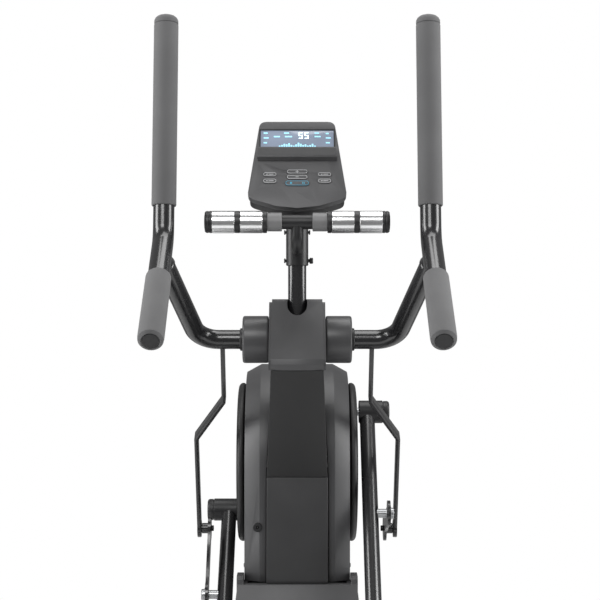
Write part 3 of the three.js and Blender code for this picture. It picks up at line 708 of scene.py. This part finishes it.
@dataclass
class Leg:
    """One leg with its pedal, roller and link."""

    side: Side
    tube_x: float = 0.148
    tube_radius: float = 0.016
    length: float = 0.880
    link_down: float = 0.247
    housing: float = 0.024
    rib_count: int = 13
    rib_first: float = -0.072
    rib_pitch: float = 0.021
    rib_width: float = 0.009
    rib_inner: float = 0.1390
    rib_outer: float = 0.2530

    def build(self) -> None:
        """Make every piece of the leg."""
        word = self.side.word
        body = f"{word}_leg"
        outward = AXIS_X * self.side.value
        axle = joint_point(f"{word}_leg_swing")
        pin = self.pin(word)
        up = (pin - axle).normalized()
        ahead = Vector((0, up.z, -up.y))
        spread = outward * self.tube_x
        elbow = axle + up * 0.180 + ahead * 0.150
        path = rounded_path([pin + spread, axle + up * 0.400 + spread, elbow + spread, axle + spread], 0.055)
        finish_piece(tube(f"{word}_leg_tube", path, self.tube_radius, 48), POWDER, body, [f"{word}_leg"])
        r = self.housing
        house = [(0.009, 0.1305), (r - 0.0012, 0.1305), (r, 0.1317), (r, 0.1800), (r - 0.001, 0.1810),
                 (r - 0.0032, 0.1810), (r - 0.0032, 0.1822), (r - 0.001, 0.1824), (r - 0.001, 0.1905),
                 (r - 0.0025, 0.1935), (r - 0.0055, 0.1948), (0, 0.1950)]
        finish_piece(turned(f"{word}_pin_housing", house, pin, outward, 72), SATIN_BLACK, body,
                     [f"{word}_leg"])
        stub = [(0, 0.1268), (0.0085, 0.1268), (0.0085, 0.1320), (0, 0.1320)]
        finish_piece(turned(f"{word}_crank_pin", stub, pin, outward, 40), SILVER_BOLT, body)
        eye = pin - up * self.link_down
        spacer = [(0, 0.1600), (0.009, 0.1600), (0.009, 0.1808), (0.0082, 0.1816), (0, 0.1817)]
        finish_piece(turned(f"{word}_link_spacer", spacer, eye, outward, 48), SILVER_BOLT, body,
                     [f"{word}_leg"])
        boss = [(0, 0.1330), (0.0175, 0.1330), (0.019, 0.1342), (0.019, 0.1618), (0.0178, 0.1630),
                (0.009, 0.1630),
                (0.009, 0.1645), (0, 0.1650)]
        finish_piece(turned(f"{word}_axle_boss", boss, axle, outward, 56), POWDER, body, [f"{word}_leg"])
        self.foot(word, body, axle, elbow, outward)
        self.roller(word, axle, outward)
        self.link(word, eye, outward)

    def pin(self, word: str) -> Vector:
        """The crank pin's centre, at the top of the leg's solid."""
        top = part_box(f"{word}_leg")[1]
        return Vector((0, top.y - self.housing, top.z - self.housing))

    def foot(self, word: str, body: str, axle: Vector, elbow: Vector, outward: Vector) -> None:
        """The pedal tray with its ribs, and the bracket that carries it."""
        run = (elbow - axle).normalized()
        rise = Vector((0, -run.z, run.y))
        place = basis(run, outward, rise, axle) if self.side is Side.LEFT else basis(outward, run, rise, axle)

        def spot(x: float, along: float) -> tuple[float, float]:
            return (along, x) if self.side is Side.LEFT else (x, along)

        bracket = [spot(0.140, 0.020), spot(0.156, 0.020), spot(0.156, 0.180), spot(0.140, 0.180)]
        carrier = plate(f"{word}_pedal_bracket", bracket, 0.0315, place @ Matrix.Translation((0, 0, 0.008)),
                        0.0015)
        finish_piece(carrier, POWDER, body, [f"{word}_leg"])
        tray = refined(f"{word}_pedal", f"{word}_pedal_tray", 0.0022)
        finish_piece(tray, RUBBER, body, [f"{word}_pedal"])
        for index in range(self.rib_count):
            start = self.rib_first + index * self.rib_pitch
            end = start + self.rib_width
            rib = [spot(self.rib_inner, start), spot(self.rib_outer, start), spot(self.rib_outer, end),
                   spot(self.rib_inner, end)]
            bar = plate(f"{word}_pedal_rib_{index + 1}", rib, 0.0034,
                        place @ Matrix.Translation((0, 0, 0.0498)), 0.0009, 2)
            finish_piece(bar, RUBBER, body)

    def roller(self, word: str, axle: Vector, outward: Vector) -> None:
        """The wheel that runs on the rail, and its axle."""
        rim = 0.0316
        tyre = [(0.0092, 0.0965), (0.0140, 0.0965), (0.0145, 0.0985), (rim - 0.006, 0.0985),
                (rim - 0.0045, 0.0965),
                (rim - 0.002, 0.0968), (rim - 0.0004, 0.0995), (rim, 0.1040), (rim, 0.1200),
                (rim - 0.0004, 0.1245),
                (rim - 0.002, 0.1272), (rim - 0.0045, 0.1275), (rim - 0.006, 0.1255), (0.0145, 0.1255),
                (0.0140, 0.1275), (0.0092, 0.1275), (0.0092, 0.0965)]
        finish_piece(turned(f"{word}_roller_wheel", tyre, axle, outward, 72), RUBBER, f"{word}_roller",
                     [f"{word}_roller"])
        rod = [(0, 0.0920), (0.0070, 0.0920), (0.0079, 0.0930), (0.0079, 0.1670), (0.0070, 0.1680),
               (0, 0.1680)]
        finish_piece(turned(f"{word}_roller_shaft", rod, axle, outward, 48), SILVER_BOLT, f"{word}_carriage",
                     [f"{word}_roller_axle"])

    def link(self, word: str, eye: Vector, outward: Vector) -> None:
        """The link plate between the drive bar and the leg, with its bolts."""
        body = f"{word}_link"
        bar = refined(f"{word}_link", f"{word}_link_plate", 0.0)
        finish_piece(bar, POWDER, body, [f"{word}_link"])
        cap = [(0.0, 0.1878), (0.0125, 0.1878), (0.0130, 0.1884), (0.0130, 0.1900), (0.0112, 0.1904),
               (0.0112, 0.1945), (0.0100, 0.1958), (0, 0.1960)]
        finish_piece(turned(f"{word}_link_bolt", cap, eye, outward, 56), SILVER_BOLT, body)


@dataclass
class Tower:
    """The covers of the tower, the crank discs and what shows around them."""

    shell_x: float = 0.107

    def build(self) -> None:
        """Make the covers, discs and inlet."""
        body = "machine"
        covers = [
            ("neck_cover", "neck_shell", 0.0035, GREY_SHELL),
            # The rear panel's darker finish is painted shade: the panel is the grey shell plastic, drawn as
            # if out of the light.
            ("rear_panel", "rear_shell_panel", 0.0030, DARK_DISC_AND_SHADED_PANEL),
            # Painted shade too: the lower rear panel is the same grey plastic, drawn darker.
            ("lower_rear_panel", "lower_rear_shell", 0.0022, SHADED_LOWER_SHELL),
            ("left_shroud", "left_side_shell", 0.0040, GREY_SHELL),
            ("right_shroud", "right_side_shell", 0.0040, GREY_SHELL),
            ("base_cover", "base_shell", 0.0060, GREY_SHELL),
        ]
        for node, name, width, finish in covers:
            finish_piece(refined(node, name, width), finish, body, [node])
        self.discs()
        self.inlet(body)
        self.seams(body)

    def discs(self) -> None:
        """The two crank discs with a raised ring near the rim, and their centre bolts."""
        crank = joint_point("crank_spin")
        rim = 0.169
        for side in Side:
            outward = AXIS_X * side.value
            profile = [(0, 0.1085), (rim - 0.014, 0.1085), (rim - 0.004, 0.1098), (rim - 0.0008, 0.1120),
                       (rim, 0.1145), (rim, 0.1170), (rim - 0.0012, 0.1200), (rim - 0.0035, 0.1226),
                       (rim - 0.0070, 0.1243), (rim - 0.0110, 0.1249), (rim - 0.0150, 0.1243),
                       (rim - 0.0180, 0.1228), (rim - 0.0205, 0.1206), (rim - 0.0225, 0.1203),
                       (rim - 0.0260, 0.1208), (0.112, 0.1210), (0.110, 0.1222), (0.107, 0.1222),
                       (0.105, 0.1210),
                       (0.064, 0.1210), (0.060, 0.1225), (0.056, 0.1245), (0.050, 0.1252), (0.020, 0.1252),
                       (0.019, 0.1246), (0, 0.1246)]
            finish_piece(turned(f"{side.word}_disc_face", profile, crank, outward, 144), DARK_DISC_AND_SHADED_PANEL, "crank",
                         [f"{side.word}_crank_disc"])
            cap = [(0, 0.1246), (0.0165, 0.1246), (0.0162, 0.1256), (0.0145, 0.1260), (0, 0.1261)]
            finish_piece(turned(f"{side.word}_disc_cap", cap, crank, outward, 56), SATIN_BLACK, "crank")

    def inlet(self, body: str) -> None:
        """The low-voltage inlet at the lower left."""
        low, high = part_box("power_inlet")
        centre = (low + high) / 2
        face = low.y
        ring = [(0.0031, 0.0), (0.0086, 0.0), (0.0093, 0.0006), (0.0093, 0.0022), (0.0074, 0.0024),
                (0.0074, 0.0140),
                (0, 0.0140), (0, 0.0110), (0.0031, 0.0110), (0.0031, 0.0)]
        piece = turned("inlet_socket", ring, Vector((centre.x, face, centre.z)), AXIS_Y, 48)
        finish_piece(piece, SATIN_BLACK, body, ["power_inlet"])
        contact = [(0, 0.0020), (0.0007, 0.0024), (0.0009, 0.0032), (0.0009, 0.0109), (0, 0.0109)]
        finish_piece(turned("inlet_contact", contact, Vector((centre.x, face, centre.z)), AXIS_Y, 20),
                     SILVER_BOLT, body)

    def seams(self, body: str) -> None:
        """Countersunk screws down the side shells."""
        low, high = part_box("left_shroud")
        for side in Side:
            outward = AXIS_X * side.value
            for index, (y, z) in enumerate(((high.y - 0.022, low.z + 0.03), (low.y + 0.022, low.z + 0.03),
                                            (high.y - 0.03, high.z - 0.22))):
                head = [(0, -0.0008), (0.0046, -0.0008), (0.0046, 0.0), (0.0040, 0.0009), (0.0022, 0.0014),
                        (0.0018, 0.0007), (0, 0.0007)]
                origin = Vector((side.value * self.shell_x, y, z))
                finish_piece(turned(f"{side.word}_shell_screw_{index + 1}", head, origin, outward, 28),
                             SATIN_BLACK,
                             body)


@dataclass
class Mast:
    """The mast, its sleeve and bolts, and the pulse bar with its grips."""

    y: float = 0.020

    def build(self) -> None:
        """Make the mast and the pulse bar."""
        body = "machine"
        low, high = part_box("lower_mast")
        straight = [Vector((0, self.y, low.z)), Vector((0, self.y, high.z))]
        finish_piece(tube("inner_mast_tube", straight, 0.018, 64, 15 / 18), POWDER, body, ["lower_mast"])
        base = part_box("upper_mast")[0]
        sleeve = [Vector((0, self.y, base.z)), Vector((0, self.y, base.z + 0.082))]
        finish_piece(tube("mast_sleeve", sleeve, 0.022, 64, 19 / 22), SATIN_BLACK, body, ["upper_mast"])
        neck = rounded_path([Vector((0, self.y, base.z + 0.07)), Vector((0, self.y, base.z + 0.124)),
                             Vector((0, 0.0125, 1.3385))], 0.040)
        finish_piece(tube("console_stem", neck, 0.015, 48), SATIN_BLACK, body, ["upper_mast"])
        self.bolts(body, base.z)
        self.pulse(body)

    def bolts(self, body: str, bottom: float) -> None:
        """The clamp knob on the right and the bolt heads on both sides."""
        for name, side, z, radius, reach in (("mast_knob", 1, bottom + 0.010, 0.0060, 0.0095),
                                             ("mast_bolt", -1, bottom + 0.010, 0.0046, 0.0040),
                                             ("upper_bolt_right", 1, bottom + 0.066, 0.0046, 0.0040),
                                             ("upper_bolt_left", -1, bottom + 0.066, 0.0046, 0.0040)):
            head = [(0, -0.001), (radius * 0.6, -0.001), (radius * 0.6, reach * 0.25), (radius, reach * 0.3),
                    (radius, reach * 0.85), (radius * 0.8, reach), (0, reach)]
            origin = Vector((side * 0.022, self.y, z))
            finish_piece(turned(name, head, origin, AXIS_X * side, 36), SATIN_BLACK, body)

    def pulse(self, body: str) -> None:
        """The pulse bar: tube, stem, bright sensor sleeves, bands, grey sleeves and end caps."""
        low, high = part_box("pulse_grip_left")
        centre = Vector((0, (low.y + high.y) / 2, (low.z + high.z) / 2))
        bar = [centre - AXIS_X * 0.160, centre + AXIS_X * 0.160]
        finish_piece(tube("pulse_bar_tube", bar, 0.014, 48), SATIN_BLACK, body, ["pulse_bar"])
        stem = rounded_path([centre, centre + Vector((0, 0, -0.046)),
                             Vector((0, 0.0005, centre.z - 0.050))], 0.024)
        finish_piece(tube("pulse_bar_stem", stem, 0.0115, 40), SATIN_BLACK, body, ["pulse_bar"])
        bands = [
            ("inner_sleeve", SLEEVE_GREY, 0.0180, 0.0293, 0.0576),
            ("inner_ring", SATIN_BLACK, 0.0212, 0.0579, 0.0656),
            ("inner_sensor", BRIGHT, 0.0214, 0.0659, 0.1091),
            ("middle_band", SATIN_BLACK, 0.0212, 0.1094, 0.1190),
            ("outer_sensor", BRIGHT, 0.0214, 0.1193, 0.1630),
        ]
        for side in Side:
            outward = AXIS_X * side.value
            node = [f"pulse_grip_{side.word}"]
            for name, finish, radius, start, end in bands:
                soft = 0.0009
                profile = [(0.0142, start), (radius - soft, start), (radius, start + soft),
                           (radius, end - soft),
                           (radius - soft, end), (0.0142, end), (0.0142, start)]
                finish_piece(turned(f"{side.word}_{name}", profile, centre, outward, 72), finish, body, node)
            cap = [(0, 0.1632), (0.0206, 0.1632), (0.0212, 0.1640), (0.0212, 0.1672), (0.0203, 0.1682),
                   (0.0203, 0.1692), (0.0211, 0.1702), (0.0209, 0.1738), (0.0190, 0.1762), (0.0130, 0.1772),
                   (0, 0.1774)]
            finish_piece(turned(f"{side.word}_pulse_cap", cap, centre, outward, 72), SATIN_BLACK, body, node)


@dataclass
class Console:
    """The console: case, display with its digits, ledge and printed buttons."""

    centre: Vector = field(default_factory=lambda: Vector((0, -0.030, 1.372)))
    tilt: float = math.radians(25)
    line: float = 0.0007

    def face(self, lift: float) -> Matrix:
        """The console's own frame: x across, y up the face, z out of it."""
        turn = Matrix.Rotation(math.pi / 2 - self.tilt, 4, "X")
        return Matrix.Translation(self.centre) @ turn @ Matrix.Translation((0, 0, lift))

    def build(self) -> None:
        """Make the console."""
        body = "machine"
        finish_piece(refined("console_front", "console_fascia", 0.0016), CONSOLE_GREY, body,
                     ["console_front"])
        finish_piece(refined("console_rear_shell", "console_back", 0.004), SATIN_BLACK, body,
                     ["console_rear_shell"])
        finish_piece(refined("display", "display_window", 0.0006), SCREEN, body, ["display"])
        self.frame(body)
        self.reading(body)
        self.buttons()
        self.ledge(body)

    def strip(self, name: str, box: tuple[float, float, float, float], finish: Finish, body: str,
              lift: float, depth: float = 0.0004) -> None:
        """A thin raised bar on the face: x0, x1, y0, y1 in metres."""
        x0, x1, y0, y1 = box
        piece = plate(name, [(x0, y0), (x1, y0), (x1, y1), (x0, y1)], depth, self.face(lift))
        finish_piece(piece, finish, body)

    def frame(self, body: str) -> None:
        """The dark bezel around the display."""
        for index, box in enumerate(((-0.0745, 0.0745, 0.0778, 0.0802), (-0.0745, 0.0745, 0.0338, 0.0362),
                                     (-0.0745, -0.0718, 0.0362, 0.0778), (0.0718, 0.0745, 0.0362, 0.0778))):
            self.strip(f"display_bezel_{index + 1}", box, SATIN_BLACK, body, -0.0004, 0.0012)

    def reading(self, body: str) -> None:
        """The lit reading: two digits, a row of small readouts, side symbols and a bar graph."""
        lift = -0.00095
        height, width, thick = 0.0140, 0.0078, 0.0017
        lit = "afgcd"  # the strokes of a five
        for order, left in enumerate((0.0030, 0.0145)):
            base = 0.0590
            middle = base + height / 2
            strokes = {
                "a": (left, left + width, base + height - thick, base + height),
                "g": (left, left + width, middle - thick / 2, middle + thick / 2),
                "d": (left, left + width, base, base + thick),
                "f": (left, left + thick, middle, base + height),
                "c": (left + width - thick, left + width, base, middle),
            }
            for key in lit:
                self.strip(f"digit_{order + 1}_{key}", strokes[key], DIGIT, body, lift)
        heights = (2, 3, 5, 4, 6, 3, 2, 4, 7, 5, 3, 4, 2, 3, 5, 2)
        for index, tall in enumerate(heights):
            left = -0.036 + index * 0.0046
            self.strip(f"graph_bar_{index + 1}", (left, left + 0.0034, 0.0405, 0.0405 + tall * 0.0013),
                       DIGIT_DIM, body, lift)
        for index, (x, y, w) in enumerate(((-0.066, 0.0700, 0.008), (-0.066, 0.0590, 0.010),
                                           (-0.066, 0.0480, 0.007),
                                           (-0.046, 0.0620, 0.012), (-0.026, 0.0700, 0.010),
                                           (-0.024, 0.0620, 0.014),
                                           (0.034, 0.0700, 0.009), (0.034, 0.0620, 0.012),
                                           (0.056, 0.0690, 0.006),
                                           (0.056, 0.0590, 0.010), (0.056, 0.0480, 0.008))):
            self.strip(f"readout_{index + 1}", (x, x + w, y, y + 0.0030), DIGIT_DIM, body, lift)
        self.strip("graph_baseline", (-0.040, 0.040, 0.0392, 0.0398), DIGIT_DIM, body, lift)

    def ledge(self, body: str) -> None:
        """The lip of the reading rest."""
        self.strip("ledge_pad", (-0.0755, 0.0755, 0.0105, 0.0275), HUB_GREY, body, 0.0168, 0.0010)

    def ring(self, name: str, x: float, y: float, half: tuple[float, float], finish: Finish, body: str,
             lift: float) -> None:
        """A printed pill outline."""
        outer = stadium(half[0], half[1])
        inner = stadium(half[0] - self.line, half[1] - self.line)
        place = self.face(lift) @ Matrix.Translation((x, y, 0))
        work = bmesh.new()
        rows = [[work.verts.new(place @ Vector((a, b, z))) for a, b in line]
                for line, z in ((outer, 0), (inner, 0), (inner, 0.0003), (outer, 0.0003))]
        count = len(outer)
        for one, two in zip(rows, rows[1:] + rows[:1]):
            for k in range(count):
                work.faces.new((one[k], one[(k + 1) % count], two[(k + 1) % count], two[k]))
        finish_piece(new_object(name, work), finish, body)

    def buttons(self) -> None:
        """The seven buttons, each with its printed outline and symbol."""
        table = [("upper_left_button", -0.053, -0.0225, 0.013, 0.0045),
                 ("lower_left_button", -0.053, -0.037, 0.013, 0.0045),
                 ("upper_right_button", 0.053, -0.0225, 0.013, 0.0045),
                 ("lower_right_button", 0.053, -0.037, 0.013, 0.0045),
                 ("plus_button", 0, -0.0165, 0.020, 0.0045),
                 ("minus_button", 0, -0.0285, 0.020, 0.0045), ("start_button", 0, -0.042, 0.023, 0.0055)]
        for node, x, y, w, h in table:
            finish_piece(refined(node, f"{node}_cap", 0.0005, 2), CONSOLE_GREY, node, [node])
            print_finish = PRINT_BLUE if node == "start_button" else PRINT
            self.ring(f"{node}_outline", x, y, (w - 0.0006, h - 0.0006), print_finish, node, 0.0014)
            marks = {
                "plus_button": [(x - 0.003, x + 0.003, y - 0.0004, y + 0.0004),
                                (x - 0.0004, x + 0.0004, y - 0.003, y + 0.003)],
                "minus_button": [(x - 0.003, x + 0.003, y - 0.0004, y + 0.0004)],
                "start_button": [(x - 0.014, x - 0.010, y - 0.0018, y + 0.0018),
                                 (x + 0.010, x + 0.0114, y - 0.0020, y + 0.0020),
                                 (x + 0.0128, x + 0.0142, y - 0.0020, y + 0.0020)],
            }.get(node, [(x - 0.007, x - 0.004, y - 0.0006, y + 0.0006),
                         (x - 0.0025, x + 0.007, y - 0.0005, y + 0.0005)])
            for index, box in enumerate(marks):
                self.strip(f"{node}_mark_{index + 1}", box, print_finish, node, 0.0014, 0.0003)


@dataclass
class FloorFrame:
    """What the machine stands and runs on."""

    def build(self) -> None:
        """Make the frame, rails, feet and transport wheels."""
        body = "machine"
        table = [("base_beam", "floor_beam", 0.0030, POWDER),
                 ("rear_stabilizer", "rear_cross_tube", 0.0015, POWDER),
                 ("front_stabilizer", "front_cross_tube", 0.0012, POWDER),
                 ("left_rail", "left_running_rail", 0.0020, RAIL_STEEL),
                 ("right_rail", "right_running_rail", 0.0020, RAIL_STEEL)]
        for end in ("rear", "front"):
            for side in Side:
                table.append((f"{end}_end_cap_{side.word}", f"{end}_{side.word}_foot_cap", 0.0040, RUBBER))
        for node, name, width, finish in table:
            finish_piece(refined(node, name, width), finish, body, [node])
        for side in Side:
            node = f"transport_wheel_{side.word}"
            low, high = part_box(node)
            centre = Vector((0, (low.y + high.y) / 2, (low.z + high.z) / 2))
            inner = min(abs(low.x), abs(high.x))
            outer = max(abs(low.x), abs(high.x))
            rim = (high.z - low.z) / 2
            tyre = [(0.0056, inner), (0.012, inner), (0.0125, inner + 0.002), (rim - 0.005, inner + 0.002),
                    (rim - 0.003, inner), (rim - 0.0008, inner + 0.001), (rim, inner + 0.004),
                    (rim, outer - 0.004),
                    (rim - 0.0008, outer - 0.001), (rim - 0.003, outer), (rim - 0.005, outer - 0.002),
                    (0.0125, outer - 0.002), (0.012, outer), (0.0056, outer), (0.0056, inner)]
            finish_piece(turned(f"{side.word}_transport_roller", tyre, centre, AXIS_X * side.value, 56),
                         RUBBER, node, [node])


@dataclass
class Works:
    """The drive inside the covers and the axles, kept from the frame with proper finishes."""

    def build(self) -> None:
        """Give each hidden CAD node its finish."""
        finishes = {"tower_frame": POWDER, "crank_axle": SILVER_BOLT, "handle_axle": SILVER_BOLT,
                    "drive_pulley": SATIN_BLACK, "drive_belt": RUBBER, "flywheel": RAIL_STEEL}
        for node, finish in finishes.items():
            mesh_object = frame["nodes"][node]
            for place in mesh_object.material_slots:
                place.material = finish.material()
            LOG.info("%s keeps its shape", node)


@dataclass
class Studio:
    """The pale floor, the lights and the camera."""

    distance: float = 2.978
    rise: float = 0.0784
    lens: float = 90.0
    image: float = 600.0
    offset: float = 2.8
    fill: float = 0.2

    def build(self) -> None:
        """Make the studio."""
        self.camera()
        self.floor()
        self.world()
        self.light("left_strip", Vector((-2.3, -0.5, 1.6)), (1.0, 2.6), 62)
        self.light("right_strip", Vector((2.3, -0.5, 1.6)), (1.0, 2.6), 62)
        self.light("key_panel", Vector((-0.7, -2.9, 2.9)), (1.6, 1.2), 46)
        self.light("top_panel", Vector((0.3, 0.2, 3.4)), (1.8, 1.8), 34)

    def camera(self) -> None:
        """A level long-lens camera in front of the user's side of the handles."""
        hub = joint_point("left_handle_swing")
        data = bpy.data.cameras.new("studio_camera")
        data.lens = self.lens
        data.sensor_width = 36.0
        data.shift_x = self.offset / self.image
        data.clip_end = 60
        camera = bpy.data.objects.new("studio_camera", data)
        camera.location = (0, hub.y - self.distance, hub.z + self.rise)
        camera.rotation_euler = (math.pi / 2, 0, 0)
        bpy.context.scene.collection.objects.link(camera)
        bpy.context.scene.camera = camera

    def floor(self) -> None:
        """A round pale floor."""
        work = bmesh.new()
        bmesh.ops.create_circle(work, cap_ends=True, radius=1.75, segments=96)
        floor = new_object("studio_floor", work)
        floor.location.z = -0.0005
        material = bpy.data.materials.new("pale_floor")
        material.use_nodes = True
        nodes = material.node_tree.nodes
        cloud = nodes.new("ShaderNodeTexNoise")
        cloud.inputs["Scale"].default_value = 3.0
        ramp = nodes.new("ShaderNodeValToRGB")
        ramp.color_ramp.elements[0].color = (0.80, 0.80, 0.80, 1)
        ramp.color_ramp.elements[1].color = (0.86, 0.86, 0.86, 1)
        material.node_tree.links.new(cloud.outputs["Fac"], ramp.inputs["Fac"])
        material.node_tree.links.new(ramp.outputs["Color"], nodes["Principled BSDF"].inputs["Base Color"])
        nodes["Principled BSDF"].inputs["Roughness"].default_value = 0.7
        floor.data.materials.append(material)

    def world(self) -> None:
        """A white backdrop that lends the machine only a little fill light."""
        world = bpy.data.worlds.new("studio_surround")
        world.use_nodes = True
        tree = world.node_tree
        backdrop = tree.nodes["Background"]
        backdrop.inputs["Color"].default_value = (1, 1, 1, 1)
        fill = tree.nodes.new("ShaderNodeBackground")
        fill.inputs["Color"].default_value = (1, 1, 1, 1)
        fill.inputs["Strength"].default_value = self.fill
        seen = tree.nodes.new("ShaderNodeLightPath")
        mix = tree.nodes.new("ShaderNodeMixShader")
        tree.links.new(seen.outputs["Is Camera Ray"], mix.inputs[0])
        tree.links.new(fill.outputs[0], mix.inputs[1])
        tree.links.new(backdrop.outputs[0], mix.inputs[2])
        tree.links.new(mix.outputs[0], tree.nodes["World Output"].inputs["Surface"])
        bpy.context.scene.world = world
        bpy.context.scene.view_settings.view_transform = "Standard"

    def light(self, name: str, place: Vector, size: tuple[float, float], power: float) -> None:
        """A soft panel that faces the machine."""
        data = bpy.data.lights.new(name, "AREA")
        data.shape = "RECTANGLE"
        data.size, data.size_y = size
        data.energy = power
        lamp = bpy.data.objects.new(name, data)
        lamp.location = place
        lamp.rotation_euler = (Vector((0, 0, 1.05)) - place).to_track_quat("-Z", "Y").to_euler()
        bpy.context.scene.collection.objects.link(lamp)


def main() -> None:
    """Build every sub-assembly in order."""
    logging.basicConfig(level=logging.INFO, format="%(name)s: %(message)s")
    Studio().build()
    FloorFrame().build()
    Tower().build()
    Works().build()
    Mast().build()
    Console().build()
    for side in Side:
        Handle(side).build()
        Leg(side).build()


if __name__ == "__main__":
    main()
